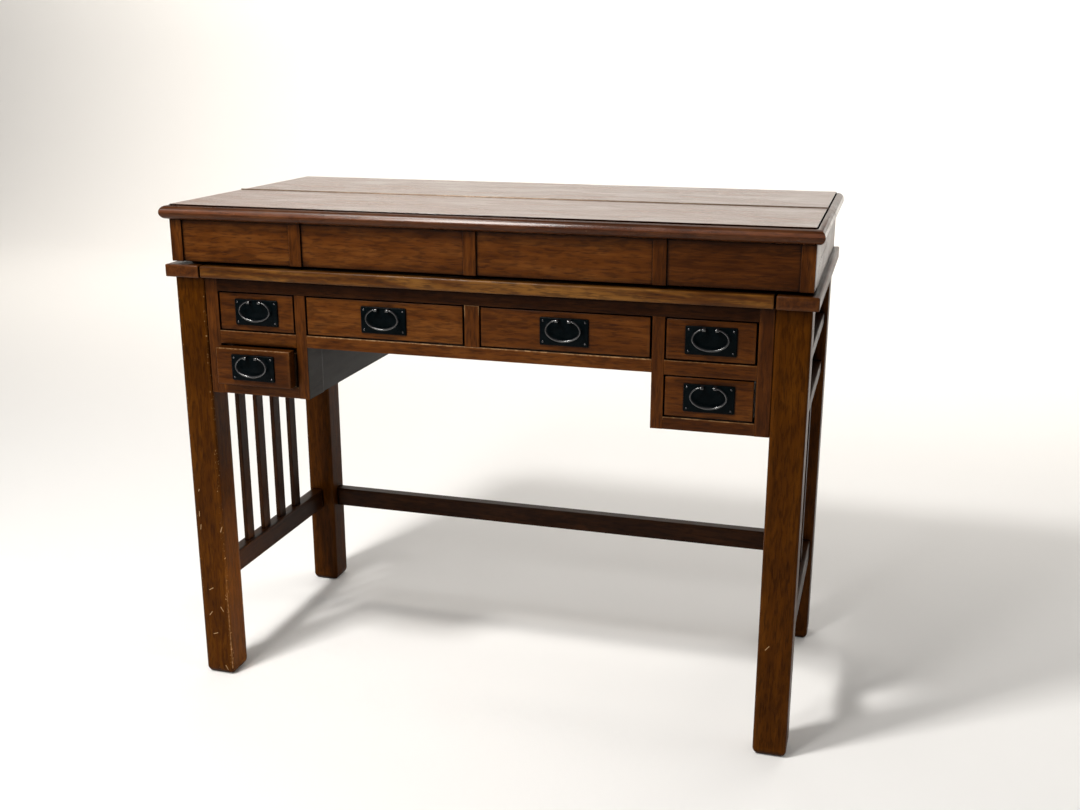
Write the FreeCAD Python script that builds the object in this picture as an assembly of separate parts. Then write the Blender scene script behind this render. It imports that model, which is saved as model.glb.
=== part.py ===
import FreeCAD, Part
import math
import os

# A desk in stained wood: four square legs, drawers in a front frame, a work surface that pulls
# forward and, above it, a shallow box whose lid is the front half of the moulded top.
# Millimetres. +X is to the right, +Y to the back, +Z up; the floor is Z = 0.

# Legs
legs_across = 1056.0
leg_side = 54.0
leg_height = 741.0
leg_round = 5.0
foot_taper_height = 9.0
foot_taper_in = 6.5

# Front frame, from the legs inwards and from the work surface down
frame_set_back = 3.0
frame_thick = 20.0
outer_stile_wide = 23.0
pedestal_stile_wide = 19.5
pedestal_stile_deep = 55.0
centre_stile_wide = 25.0
small_open_wide = 141.0
drawer_open_high = 67.0
top_rail_high = 23.0
mid_rail_high = 23.0
centre_rail_high = 21.0
bottom_rail_high = 20.0

# Side frames, panels and low rails
rail_thick = 24.0
rail_set_in = 6.0
side_rail_high = 20.0
stretcher_bottom = 168.0
stretcher_high = 40.0
rear_stretcher_high = 38.0
rear_stretcher_thick = 22.0
rear_set_in = 10.0
tenon_thick = 12.0
tenon_long = 20.0
tenon_shoulder = 3.0
slat_count = 4
slat_wide = 25.0
slat_thick = 8.0
slat_gap = 38.5
slat_housing = 6.0
panel_thick = 6.0
panel_groove = 5.0
pedestal_panel_thick = 15.0
pedestal_panel_set_in = 2.0
back_panel_thick = 18.0
back_panel_tongue = 8.0
runner_wide = 15.0
runner_high = 18.0
guide_wide = 18.0
guide_high = 9.0

# Work surface
deck_thick = 21.0
deck_over_front = 13.5
deck_over_back = 13.0
deck_over_side = 9.5
end_piece_wide = 62.5
edge_ease = 2.0
slide_end_gap = 2.5
slide_under_gap = 0.7
slide_thick = 20.0
slide_back_gap = 3.0
lipping_deep = 24.0
rear_deck_deep = 38.0
tongue_thick = 7.0
tongue_long = 9.0
tongue_run = 190.0
groove_stop = 40.0

# Upper box and lid
box_rise = 75.0
board_thick = 18.0
lid_lift = 4.5
apron_thick = 14.0
batten_proud = 3.7
batten_wide = 21.0
batten_pitch = 300.0
split_rise = 38.0
split_foot = 53.0
split_crest = 117.0
split_gap = 1.5
top_thick = 24.5
top_over = 12.0
seam_from_front = 238.0
top_back_over = 6.0
quirk_in = 14.0
quirk_wide = 2.2
quirk_deep = 2.6
nose_drop = 1.6
nose_flat = 0.9
nose_under = 1.0

# Long hinge in the seam
knuckle_count = 7
knuckle_radius = 1.2
hinge_pin_radius = 0.55
axis_above_top = 0.3
leaf_thick = 0.8
leaf_high = 17.0
knuckle_gap = 0.5

# Drawers
reveal = 2.0
front_set_in = 1.5
front_ease = 1.0
box_in = 1.0
box_side_thick = 10.0
box_low = 8.0
box_deep = 400.0
drawer_back_room = 43.0
bottom_thick = 4.0
bottom_up = 6.0
bottom_groove = 4.0
left_low_drawer_out = 23.5

# Pulls
plate_wide = 78.0
plate_high = 43.5
plate_thick = 2.5
plate_bevel = 1.4
nail_in = 5.0
nail_wide = 4.6
nail_high = 1.3
nail_bevel = 1.1
lug_apart = 20.0
lug_drop = 3.5
lug_thick = 5.0
lug_radius = 2.8
lug_out = 6.5
bail_half_wide = 27.5
bail_drop = 31.0
bail_bar_radius = 1.8
bail_pin_radius = 1.3
bail_steps = 16
bail_sides = 8

# Clearances
tenon_ease = 0.2
pin_play = 0.05
running_gap = 0.5
knuckle_ease = 0.35
groove_play = 0.4
lug_play = 0.4

V = FreeCAD.Vector


def block(low, high, ease=0.0):
    size = [b - a + 2 * ease for a, b in zip(low, high)]
    return Part.makeBox(size[0], size[1], size[2], V(*[a - ease for a in low]))


def mirrored(shape):
    return shape.mirror(V(0, 0, 0), V(1, 0, 0))


def save(name, *solids):
    shape = solids[0] if len(solids) == 1 else Part.makeCompound(list(solids))
    shape.exportStep("parts/" + name + ".step")


def save_pair(name, *solids):
    save(name, *(list(solids) + [mirrored(s) for s in solids]))


def save_sides(name, solid):
    save(name + "_right", solid)
    save(name + "_left", mirrored(solid))


def filled(points, way):
    face = Part.Face(Part.makePolygon(points + points[:1]))
    return face.extrude(way)


def rounded_square(x0, y0, side, inset, radius, z):
    low_x, low_y = x0 + inset, y0 + inset
    high_x, high_y = x0 + side - inset, y0 + side - inset
    k = radius * (1 - math.sqrt(0.5))
    corners = [
        (V(low_x + radius, low_y, z), V(high_x - radius, low_y, z),
         V(high_x - k, low_y + k, z), V(high_x, low_y + radius, z)),
        (V(high_x, low_y + radius, z), V(high_x, high_y - radius, z),
         V(high_x - k, high_y - k, z), V(high_x - radius, high_y, z)),
        (V(high_x - radius, high_y, z), V(low_x + radius, high_y, z),
         V(low_x + k, high_y - k, z), V(low_x, high_y - radius, z)),
        (V(low_x, high_y - radius, z), V(low_x, low_y + radius, z),
         V(low_x + k, low_y + k, z), V(low_x + radius, low_y, z)),
    ]
    edges = []
    for start, turn, middle, end in corners:
        edges.append(Part.makeLine(start, turn))
        edges.append(Part.Arc(turn, middle, end).toShape())
    return Part.Wire(edges)


def eased(solid, size, test):
    edges = [e for e in solid.Edges if test(e)]
    return solid.makeChamfer(size, edges)


def lies_at(edge, axis, value):
    return all(abs(getattr(v.Point, axis) - value) < 1e-6 for v in edge.Vertexes)


# Places shared by several pieces
legs_deep = frame_set_back + frame_thick + box_deep + drawer_back_room + back_panel_thick + rear_set_in
lug_stand = plate_thick + lug_out + lug_radius
reach_front = left_low_drawer_out - front_set_in - frame_set_back + lug_stand
reach_back = legs_deep + deck_over_back
front = (reach_front - reach_back) / 2
back = front + legs_deep
face = front + frame_set_back
frame_back = face + frame_thick
leg_outer = legs_across / 2
leg_inner = leg_outer - leg_side
deck_top = leg_height + deck_thick
box_top = deck_top + box_rise
top_surface = box_top + top_thick
seam = front + seam_from_front

upper_row = leg_height - top_rail_high - drawer_open_high
lower_row = upper_row - mid_rail_high - drawer_open_high
pedestal_bottom = lower_row - bottom_rail_high
small_open_out = leg_inner - outer_stile_wide
small_open_in = small_open_out - small_open_wide
centre_open_out = small_open_in - pedestal_stile_wide
centre_open_in = centre_stile_wide / 2

rail_out = leg_outer - rail_set_in
rail_in = rail_out - rail_thick
rail_mid = (rail_in + rail_out) / 2
rail_front = front + leg_side
rail_back = back - leg_side
back_panel_front = back - rear_set_in - back_panel_thick

# Side members: each is a bar between the legs with a tenon at either end
side_levels = {
    "upper": (upper_row - side_rail_high, upper_row),
    "lower": (lower_row - side_rail_high, lower_row),
    "stretcher": (stretcher_bottom, stretcher_bottom + stretcher_high),
}


def side_tenons(level):
    low, high = side_levels[level]
    x0, x1 = rail_mid - tenon_thick / 2, rail_mid + tenon_thick / 2
    z0, z1 = low + tenon_shoulder, high - tenon_shoulder
    return [((x0, rail_front - tenon_long, z0), (x1, rail_front, z1)),
            ((x0, rail_back, z0), (x1, rail_back + tenon_long, z1))]


def side_bar(level):
    low, high = side_levels[level]
    bar = block((rail_in, rail_front, low), (rail_out, rail_back, high))
    for corners in side_tenons(level):
        bar = bar.fuse(block(*corners))
    return bar.removeSplitter()


# Slats stand in housings in the stretcher and under the lower rail
slat_low = side_levels["stretcher"][1] - slat_housing
slat_high = side_levels["lower"][0] + slat_housing
slat_run = slat_count * slat_wide + (slat_count - 1) * slat_gap
slat_start = (rail_front + rail_back - slat_run) / 2
slat_corners = []
for i in range(slat_count):
    y0 = slat_start + i * (slat_wide + slat_gap)
    slat_corners.append(((rail_mid - slat_thick / 2, y0, slat_low),
                         (rail_mid + slat_thick / 2, y0 + slat_wide, slat_high)))


def housed(bar):
    for low, high in slat_corners:
        bar = bar.cut(block((low[0] - tenon_ease, low[1] - tenon_ease, low[2]),
                            (high[0] + tenon_ease, high[1] + tenon_ease, high[2])))
    return bar


# Thin panels stand in grooves of the legs and rails and close the drawer space at each side
panel_x = (rail_in, rail_in + panel_thick)
panel_spans = [(side_levels["upper"][1] - panel_groove, leg_height),
               (side_levels["lower"][1] - panel_groove, side_levels["upper"][0] + panel_groove)]
panel_corners = []
for z0, z1 in panel_spans:
    panel_corners.append(((panel_x[0], rail_front - panel_groove, z0),
                          (panel_x[1], rail_back + panel_groove, z1)))


def grooved(shape):
    for low, high in panel_corners:
        shape = shape.cut(block((low[0] - tenon_ease, low[1] - tenon_ease, low[2]),
                                (high[0] + tenon_ease, high[1] + tenon_ease, high[2])))
    return shape


save_pair("side_stretchers", housed(side_bar("stretcher")))
save_pair("side_rails", grooved(side_bar("upper")), grooved(housed(side_bar("lower"))))
save_pair("side_slats", *[block(*corners) for corners in slat_corners])
save_pair("side_panels", *[block(*corners) for corners in panel_corners])

# Rear stretcher and the board between the back legs
stretcher_back = back - rear_set_in
stretcher_y = (stretcher_back - rear_stretcher_thick, stretcher_back)
stretcher_z = (stretcher_bottom, stretcher_bottom + rear_stretcher_high)
rear_tenon_y = sum(stretcher_y) / 2
rear_tenon = ((leg_inner, rear_tenon_y - tenon_thick / 2, stretcher_z[0] + tenon_shoulder),
              (leg_inner + tenon_long, rear_tenon_y + tenon_thick / 2, stretcher_z[1] - tenon_shoulder))
rear_bar = block((-leg_inner, stretcher_y[0], stretcher_z[0]), (leg_inner, stretcher_y[1], stretcher_z[1]))
rear_bar = rear_bar.fuse([block(*rear_tenon), mirrored(block(*rear_tenon))]).removeSplitter()
save("rear_stretcher", rear_bar)

back_tongue_y = back_panel_front + back_panel_thick / 3
back_tongue = ((leg_inner, back_tongue_y, pedestal_bottom),
               (leg_inner + back_panel_tongue, back_tongue_y + back_panel_thick / 3, leg_height))
back_board = block((-leg_inner, back_panel_front, pedestal_bottom),
                   (leg_inner, back_panel_front + back_panel_thick, leg_height))
back_board = back_board.fuse([block(*back_tongue), mirrored(block(*back_tongue))]).removeSplitter()
save("back_panel", back_board)


# Legs: rounded square posts, drawn in at the foot, mortised for what meets them
def leg(at_back):
    y0 = rail_back if at_back else front
    foot_round = leg_round / 2
    outline = [rounded_square(leg_inner, y0, leg_side, foot_taper_in, foot_round, 0.0),
               rounded_square(leg_inner, y0, leg_side, 0.0, leg_round, foot_taper_height),
               rounded_square(leg_inner, y0, leg_side, 0.0, leg_round, leg_height)]
    post = Part.makeLoft(outline[:2], True, True).fuse(Part.makeLoft(outline[1:], True, True))
    sockets = [block(*side_tenons(level)[1 if at_back else 0], ease=tenon_ease) for level in side_levels]
    if at_back:
        sockets.append(block(*rear_tenon, ease=tenon_ease))
        low, high = back_tongue
        sockets.append(block((low[0], low[1] - tenon_ease, low[2]),
                             (high[0] + tenon_ease, high[1] + tenon_ease, high[2])))
    return grooved(post.removeSplitter().cut(sockets))


save_sides("leg_front", leg(False))
save_sides("leg_back", leg(True))

# Front frame
save("face_top_rail", block((-small_open_out, face, upper_row + drawer_open_high),
                            (small_open_out, frame_back, leg_height)))
save_pair("face_outer_stiles", block((small_open_out, face, pedestal_bottom),
                                     (leg_inner, frame_back, leg_height)))
save_pair("face_pedestal_stiles", block((centre_open_out, face, pedestal_bottom),
                                        (small_open_in, face + pedestal_stile_deep,
                                         upper_row + drawer_open_high)))
save("face_centre_stile", block((-centre_open_in, face, upper_row),
                                (centre_open_in, frame_back, upper_row + drawer_open_high)))
save("face_centre_rail", block((-centre_open_out, face, upper_row - centre_rail_high),
                               (centre_open_out, frame_back, upper_row)))
save_pair("face_mid_rails", block((small_open_in, face, upper_row - mid_rail_high),
                                  (small_open_out, frame_back, upper_row)))
save_pair("face_bottom_rails", block((small_open_in, face, pedestal_bottom),
                                     (small_open_out, frame_back, lower_row)))

# Inner side of each drawer stack, behind its deep stile
pedestal_panel_in = centre_open_out + pedestal_panel_set_in
save_pair("pedestal_panels", block((pedestal_panel_in, face + pedestal_stile_deep, pedestal_bottom),
                                   (pedestal_panel_in + pedestal_panel_thick, back_panel_front,
                                    leg_height)))


# Strips that carry the drawers, from the front frame to the back board
def runner(x0, level):
    return block((x0, frame_back, level - runner_high), (x0 + runner_wide, back_panel_front, level))


runners = []
for level in (upper_row, lower_row):
    runners.append(runner(small_open_in, level))
    runners.append(runner(small_open_out - runner_wide, level))
runners.append(runner(centre_open_out - runner_wide, upper_row))
guide_half = guide_wide / 2
foot_half = guide_half + runner_wide
centre_runner = filled([V(-foot_half, frame_back, upper_row - runner_high),
                        V(foot_half, frame_back, upper_row - runner_high),
                        V(foot_half, frame_back, upper_row),
                        V(guide_half, frame_back, upper_row),
                        V(guide_half, frame_back, upper_row + guide_high),
                        V(-guide_half, frame_back, upper_row + guide_high),
                        V(-guide_half, frame_back, upper_row),
                        V(-foot_half, frame_back, upper_row)],
                       V(0, back_panel_front - frame_back, 0))
save("drawer_runners", centre_runner, *(runners + [mirrored(r) for r in runners]))

# Work surface: two end boards, a fixed strip at the back and the sliding panel between them
deck_front = front - deck_over_front
deck_back = back + deck_over_back
end_out = leg_outer + deck_over_side
end_in = end_out - end_piece_wide
rear_deck_front = deck_back - rear_deck_deep
slide_low = leg_height + slide_under_gap
slide_half = end_in - slide_end_gap
slide_back = rear_deck_front - slide_back_gap
tongue_mid = slide_low + slide_thick / 2
tongue_front = slide_back - tongue_run
groove_front = front + groove_stop
slide_travel = tongue_front - groove_front - running_gap

end_piece = block((end_in, deck_front, leg_height), (end_out, deck_back, deck_top))
end_piece = eased(end_piece, edge_ease, lambda e: lies_at(e, "y", deck_front) or lies_at(e, "x", end_out))
end_groove = block((end_in, groove_front, tongue_mid - tongue_thick / 2 - groove_play),
                   (slide_half + tongue_long + groove_play, rear_deck_front,
                    tongue_mid + tongue_thick / 2 + groove_play))
save_sides("end_piece", end_piece.cut(end_groove))
save("rear_deck", block((-end_in, rear_deck_front, leg_height), (end_in, deck_back, deck_top)))

slide_panel = block((-slide_half, deck_front + lipping_deep, slide_low),
                    (slide_half, slide_back, slide_low + slide_thick))
tongue = block((slide_half, tongue_front, tongue_mid - tongue_thick / 2),
               (slide_half + tongue_long, slide_back, tongue_mid + tongue_thick / 2))
save("slide_panel", slide_panel.fuse([tongue, mirrored(tongue)]).removeSplitter())
lipping = block((-slide_half, deck_front, slide_low),
                (slide_half, deck_front + lipping_deep, slide_low + slide_thick))
save("slide_lipping", eased(lipping, edge_ease, lambda e: lies_at(e, "y", deck_front)))

# Upper box. Each side is parted along a line that runs level from the seam and falls in an arc
# to the work surface near the front: the lower part is fixed, the upper part belongs to the lid.
side_out = leg_outer
side_in = side_out - board_thick
split_level = deck_top + split_rise
foot_y = front + split_foot
crest_y = front + split_crest
arc_radius = ((crest_y - foot_y) ** 2 + split_rise ** 2) / (2 * split_rise)
arc_centre_z = split_level - arc_radius
upper_back_y = (back - board_thick, back)
seam_edge = knuckle_radius + knuckle_ease


def split_arc(radius, z_low):
    y_low = crest_y - math.sqrt(radius ** 2 - (z_low - arc_centre_z) ** 2)
    low = V(side_in, y_low, z_low)
    high = V(side_in, crest_y, arc_centre_z + radius)
    turn = (math.atan2(high.z - arc_centre_z, 0) + math.atan2(z_low - arc_centre_z, y_low - crest_y)) / 2
    middle = V(side_in, crest_y + radius * math.cos(turn), arc_centre_z + radius * math.sin(turn))
    return low, high, Part.Arc(low, middle, high).toShape()


def side_board(points, arc, low, high):
    edges = [arc]
    chain = [high] + points + [low]
    for a, b in zip(chain, chain[1:]):
        edges.append(Part.makeLine(a, b))
    return Part.Face(Part.Wire(edges)).extrude(V(board_thick, 0, 0))


low, high, arc = split_arc(arc_radius, deck_top)
fixed_side = side_board([V(side_in, seam, split_level), V(side_in, seam, box_top),
                         V(side_in, upper_back_y[0], box_top), V(side_in, upper_back_y[0], deck_top)],
                        arc, low, high)
save_sides("upper_side", fixed_side)
save("upper_back", block((-side_out, upper_back_y[0], deck_top), (side_out, upper_back_y[1], box_top)))

lid_low = deck_top + lid_lift
apron_back = front + apron_thick
low, high, arc = split_arc(arc_radius + split_gap, lid_low)
lid_side = side_board([V(side_in, seam - seam_edge, split_level + split_gap),
                       V(side_in, seam - seam_edge, box_top), V(side_in, apron_back, box_top),
                       V(side_in, apron_back, lid_low)], arc, low, high)
save_pair("lid_sides", lid_side)

save("lid_apron", block((-side_out, front, lid_low), (side_out, apron_back, box_top)))
batten_centres = [-batten_pitch, 0.0, batten_pitch]
batten_centres += [-side_out + batten_wide / 2, side_out - batten_wide / 2]
battens = []
for x in batten_centres:
    batten = block((x - batten_wide / 2, front - batten_proud, lid_low),
                   (x + batten_wide / 2, front, box_top))
    battens.append(eased(batten, edge_ease / 2, lambda e: lies_at(e, "y", front - batten_proud)))
save("lid_battens", *battens)

# Moulded top. Its section: a quirk that parts the flat from the edge, a narrow flat, then a bull nose.
nose_x = leg_outer + top_over
nose_y = front - batten_proud - top_over
top_back = back + top_back_over


def edge_points(across, sign, place):
    quirk_out = quirk_in - quirk_wide
    nose_deep = quirk_out - nose_flat
    nose_high = top_surface - nose_drop
    nose_low = box_top + nose_under
    section = [(quirk_in, top_surface), (quirk_in - quirk_wide / 2, top_surface - quirk_deep),
               (quirk_out, nose_high), (nose_deep, nose_high)]
    points = [place(across - sign * inset, z) for inset, z in section]
    nose_mid = (nose_high + nose_low) / 2
    arc = [points[-1], place(across, nose_mid), place(across - sign * nose_deep, nose_low)]
    end = place(across - sign * (nose_deep + nose_under), box_top)
    edges = [Part.makeLine(a, b) for a, b in zip(points, points[1:])]
    edges += [Part.Arc(*arc).toShape(), Part.makeLine(arc[2], end)]
    return points[0], end, edges


def top_half(y0, y1, moulded_front):
    def across_place(x, z):
        return V(x, y0, z)

    def along_place(y, z):
        return V(-nose_x, y, z)

    right = edge_points(nose_x, 1, across_place)
    left = edge_points(-nose_x, -1, across_place)
    wire = Part.Wire(right[2] + [Part.makeLine(right[1], left[1])] + left[2][::-1]
                     + [Part.makeLine(left[0], right[0])])
    board = Part.Face(wire).extrude(V(0, y1 - y0, 0))
    if not moulded_front:
        return board
    front_edge = edge_points(y0, -1, along_place)
    rest = [front_edge[1], along_place(y1, box_top), along_place(y1, top_surface), front_edge[0]]
    edges = front_edge[2] + [Part.makeLine(a, b) for a, b in zip(rest, rest[1:])]
    return board.common(Part.Face(Part.Wire(edges)).extrude(V(2 * nose_x, 0, 0)))


save("lid_top", top_half(nose_y, seam - seam_edge, True))
save("top_rear", top_half(seam + seam_edge, top_back, False))

# Long hinge: knuckles of the two leaves take turns along one pin, level with the top
axis_z = top_surface + axis_above_top
knuckle_step = legs_across / knuckle_count
hinge_bore = hinge_pin_radius + pin_play


def rod(radius, x0, x1, y, z):
    return Part.makeCylinder(radius, x1 - x0, V(x0, y, z), V(1, 0, 0))


def leaf(first, sign):
    outer = seam + sign * seam_edge
    inner = outer - sign * leaf_thick
    y0, y1 = min(outer, inner), max(outer, inner)
    neck = axis_z - knuckle_radius - knuckle_ease
    half = legs_across / 2
    plate = block((-half, y0, axis_z - leaf_high), (half, y1, neck))
    pieces = []
    for i in range(first, knuckle_count, 2):
        x0 = -half + i * knuckle_step + knuckle_gap / 2
        x1 = x0 + knuckle_step - knuckle_gap
        pieces.append(block((x0, y0, neck), (x1, y1, axis_z)))
        pieces.append(rod(knuckle_radius, x0, x1, seam, axis_z))
    body = plate.fuse(pieces).removeSplitter()
    return body.cut(rod(hinge_bore, -half, half, seam, axis_z))


save("hinge_leaf_fixed", leaf(0, 1))
save("hinge_leaf_lid", leaf(1, -1))
save("hinge_pin", rod(hinge_pin_radius, -legs_across / 2, legs_across / 2, seam, axis_z))


# Pull: bevelled plate with four pointed nail heads and two bored lugs; the oval bail hangs in the lugs
def bevelled_plate(x, y, z, wide, high, thick, bevel):
    solid = block((x - wide / 2, y - thick, z - high / 2), (x + wide / 2, y, z + high / 2))
    return eased(solid, bevel, lambda e: lies_at(e, "y", y - thick))


def lug(x, pivot):
    root = pivot.y + lug_out
    x0 = x - lug_thick / 2
    upper = [V(x0, root, pivot.z + lug_radius), V(x0, pivot.y, pivot.z + lug_radius)]
    lower = [V(x0, pivot.y, pivot.z - lug_radius), V(x0, root, pivot.z - lug_radius)]
    nose = Part.Arc(upper[1], V(x0, pivot.y - lug_radius, pivot.z), lower[0]).toShape()
    edges = [Part.makeLine(*upper), nose, Part.makeLine(*lower), Part.makeLine(lower[1], upper[0])]
    return Part.Face(Part.Wire(edges)).extrude(V(lug_thick, 0, 0))


def pull_plate(x, y, z):
    plate_front = y - plate_thick
    body = bevelled_plate(x, y, z, plate_wide, plate_high, plate_thick, plate_bevel)
    additions = []
    for nail_x in (x - plate_wide / 2 + nail_in, x + plate_wide / 2 - nail_in):
        for nail_z in (z - plate_high / 2 + nail_in, z + plate_high / 2 - nail_in):
            additions.append(bevelled_plate(nail_x, plate_front, nail_z, nail_wide, nail_wide,
                                            nail_high, nail_bevel))
    pivot = V(x, plate_front - lug_out, z + plate_high / 2 - lug_drop)
    additions += [lug(x - lug_apart / 2, pivot), lug(x + lug_apart / 2, pivot)]
    bore = rod(bail_pin_radius + pin_play, x - plate_wide / 2, x + plate_wide / 2, pivot.y, pivot.z)
    return body.fuse(additions).removeSplitter().cut(bore), pivot


# The bail's bar follows an oval in short mitred runs and ends square beside the lugs
def bail(pivot):
    shoulder = (lug_apart + lug_thick) / 2 + lug_play
    elbow = shoulder + bail_bar_radius
    share = math.sqrt(1 - (elbow / bail_half_wide) ** 2)
    half_high = bail_drop / (1 + share)
    turn_start = math.asin(share)
    turn_step = (math.pi + 2 * turn_start) / bail_steps
    turns = [turn_start - i * turn_step for i in range(bail_steps + 1)]
    path = [V(bail_half_wide * math.cos(turn), 0, half_high * (math.sin(turn) - share)) for turn in turns]
    path = [V(shoulder, 0, 0)] + path + [V(-shoulder, 0, 0)]
    ways = [V(1, 0, 0)] + [(end - start).normalize() for start, end in zip(path, path[1:])] + [V(1, 0, 0)]
    rings = []
    for centre, before, after in zip(path, ways, ways[1:]):
        mitre = before + after
        across = V(-mitre.z, 0, mitre.x) * (2 * bail_bar_radius / mitre.Length ** 2)
        ring = []
        for k in range(bail_sides):
            angle = 2 * math.pi * (k + 0.5) / bail_sides
            outward = across * math.cos(angle) + V(0, bail_bar_radius * math.sin(angle), 0)
            ring.append(pivot + centre + outward)
        rings.append(ring + ring[:1])
    faces = [Part.Face(Part.makePolygon(ring)) for ring in (rings[0], rings[-1][::-1])]
    for a, b in zip(rings, rings[1:]):
        for k in range(bail_sides):
            faces.append(Part.Face(Part.makePolygon([a[k + 1], a[k], b[k], b[k + 1], a[k + 1]])))
    shell = Part.makeShell(faces)
    shell.sewShape()
    inside = (lug_apart - lug_thick) / 2 - lug_play
    pins = [rod(bail_pin_radius, pivot.x + inside, pivot.x + elbow, pivot.y, pivot.z),
            rod(bail_pin_radius, pivot.x - elbow, pivot.x - inside, pivot.y, pivot.z)]
    return Part.makeSolid(shell).fuse(pins)


# Drawer: a front in its opening, and behind it a box of two sides, a back and a thin bottom
def drawer(name, x0, x1, level, out):
    y0 = face + front_set_in - out
    front_x = (x0 + reveal, x1 - reveal)
    front_z = (level + reveal, level + drawer_open_high - reveal)
    y1 = y0 + frame_thick
    box_x = (front_x[0] + box_in, front_x[1] - box_in)
    inner_x = (box_x[0] + box_side_thick, box_x[1] - box_side_thick)
    box_z = (level + running_gap, front_z[1] - box_low)
    floor_z = (box_z[0] + bottom_up, box_z[0] + bottom_up + bottom_thick)
    y2 = y1 + box_deep
    floor = ((inner_x[0] - bottom_groove, y1 - bottom_groove, floor_z[0]),
             (inner_x[1] + bottom_groove, y2, floor_z[1]))
    groove = block((floor[0][0] - tenon_ease, floor[0][1] - tenon_ease, floor[0][2]),
                   (floor[1][0] + tenon_ease, floor[1][1], floor[1][2]))
    board = block((front_x[0], y0, front_z[0]), (front_x[1], y1, front_z[1]))
    board = eased(board, front_ease, lambda e: lies_at(e, "y", y0))
    save(name + "_front", board.cut(groove))
    sides = [block((box_x[0], y1, box_z[0]), (inner_x[0], y2, box_z[1])),
             block((inner_x[1], y1, box_z[0]), (box_x[1], y2, box_z[1]))]
    rear = block((inner_x[0], y2 - box_side_thick, floor_z[1]), (inner_x[1], y2, box_z[1]))
    save(name + "_box", sides[0].cut(groove), sides[1].cut(groove), rear, block(*floor))
    plate, pivot = pull_plate((x0 + x1) / 2, y0, (front_z[0] + front_z[1]) / 2)
    save(name + "_plate", plate)
    save("bail_" + name.replace("drawer_", ""), bail(pivot))


drawer("drawer_upper_left", -small_open_out, -small_open_in, upper_row, 0.0)
drawer("drawer_centre_left", -centre_open_out, -centre_open_in, upper_row, 0.0)
drawer("drawer_centre_right", centre_open_in, centre_open_out, upper_row, 0.0)
drawer("drawer_upper_right", small_open_in, small_open_out, upper_row, 0.0)
drawer("drawer_lower_left", -small_open_out, -small_open_in, lower_row, left_low_drawer_out)
drawer("drawer_lower_right", small_open_in, small_open_out, lower_row, 0.0)
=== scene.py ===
import math
import random
import bpy
from mathutils import Matrix, Vector


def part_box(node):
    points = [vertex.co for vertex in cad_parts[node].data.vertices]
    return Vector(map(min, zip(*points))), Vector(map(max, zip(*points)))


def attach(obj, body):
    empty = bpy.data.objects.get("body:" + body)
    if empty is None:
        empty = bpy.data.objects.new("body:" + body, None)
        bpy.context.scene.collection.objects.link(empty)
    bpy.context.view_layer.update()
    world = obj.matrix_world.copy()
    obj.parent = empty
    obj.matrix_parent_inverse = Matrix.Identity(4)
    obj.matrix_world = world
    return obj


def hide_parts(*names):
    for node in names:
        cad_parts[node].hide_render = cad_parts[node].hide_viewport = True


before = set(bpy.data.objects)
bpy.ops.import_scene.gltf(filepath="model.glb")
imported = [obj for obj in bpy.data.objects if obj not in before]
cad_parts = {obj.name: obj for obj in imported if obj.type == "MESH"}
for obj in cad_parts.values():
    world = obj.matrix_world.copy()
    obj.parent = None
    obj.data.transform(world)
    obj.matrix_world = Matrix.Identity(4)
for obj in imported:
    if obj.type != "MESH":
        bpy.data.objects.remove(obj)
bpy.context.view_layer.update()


# The studio: a pale floor that runs up into a pale wall, a soft white surround and the camera. A small
# strong lamp hangs high at the front left; large soft ones stand round the desk and light the wall.
def pick_edges(piece, wanted):
    """Selects edges by their two ends, and leaves the piece in edit mode."""
    bpy.context.tool_settings.mesh_select_mode = (False, True, False)
    bpy.ops.object.mode_set(mode="EDIT")
    bpy.ops.mesh.select_all(action="DESELECT")
    bpy.ops.object.mode_set(mode="OBJECT")
    points = piece.data.vertices
    for edge in piece.data.edges:
        edge.select = wanted(points[edge.vertices[0]].co, points[edge.vertices[1]].co)
    bpy.ops.object.mode_set(mode="EDIT")


def new_material(name):
    material = bpy.data.materials.new(name)
    material.use_nodes = True
    return material, material.node_tree, material.node_tree.nodes["Principled BSDF"]


def node(tree, kind, settings, inputs):
    made = tree.nodes.new("ShaderNode" + kind)
    for key, value in settings.items():
        setattr(made, key, value)
    for key, value in inputs.items():
        if isinstance(value, bpy.types.NodeSocket):
            tree.links.new(value, made.inputs[key])
        else:
            made.inputs[key].default_value = value
    return made


floor_half, wall_at, wall_high, bend, bend_steps = 7.0, 5.2, 5.0, 1.2, 12
bpy.ops.object.select_all(action="DESELECT")
bpy.ops.mesh.primitive_plane_add(size=2 * floor_half, location=(0, wall_at - floor_half, 0))
studio_floor = bpy.context.object
studio_floor.name = "studio_floor"
bpy.ops.object.transform_apply(location=True, rotation=True, scale=True)
pick_edges(studio_floor, lambda a, b: min(a.y, b.y) > wall_at - bend)
bpy.ops.mesh.extrude_region_move(TRANSFORM_OT_translate={"value": (0, 0, wall_high)})
pick_edges(studio_floor, lambda a, b: min(a.y, b.y) > wall_at - bend and max(a.z, b.z) < bend)
bpy.ops.mesh.bevel(offset=bend, segments=bend_steps, affect="EDGES")
bpy.ops.object.mode_set(mode="OBJECT")
bpy.ops.object.shade_smooth()

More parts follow.
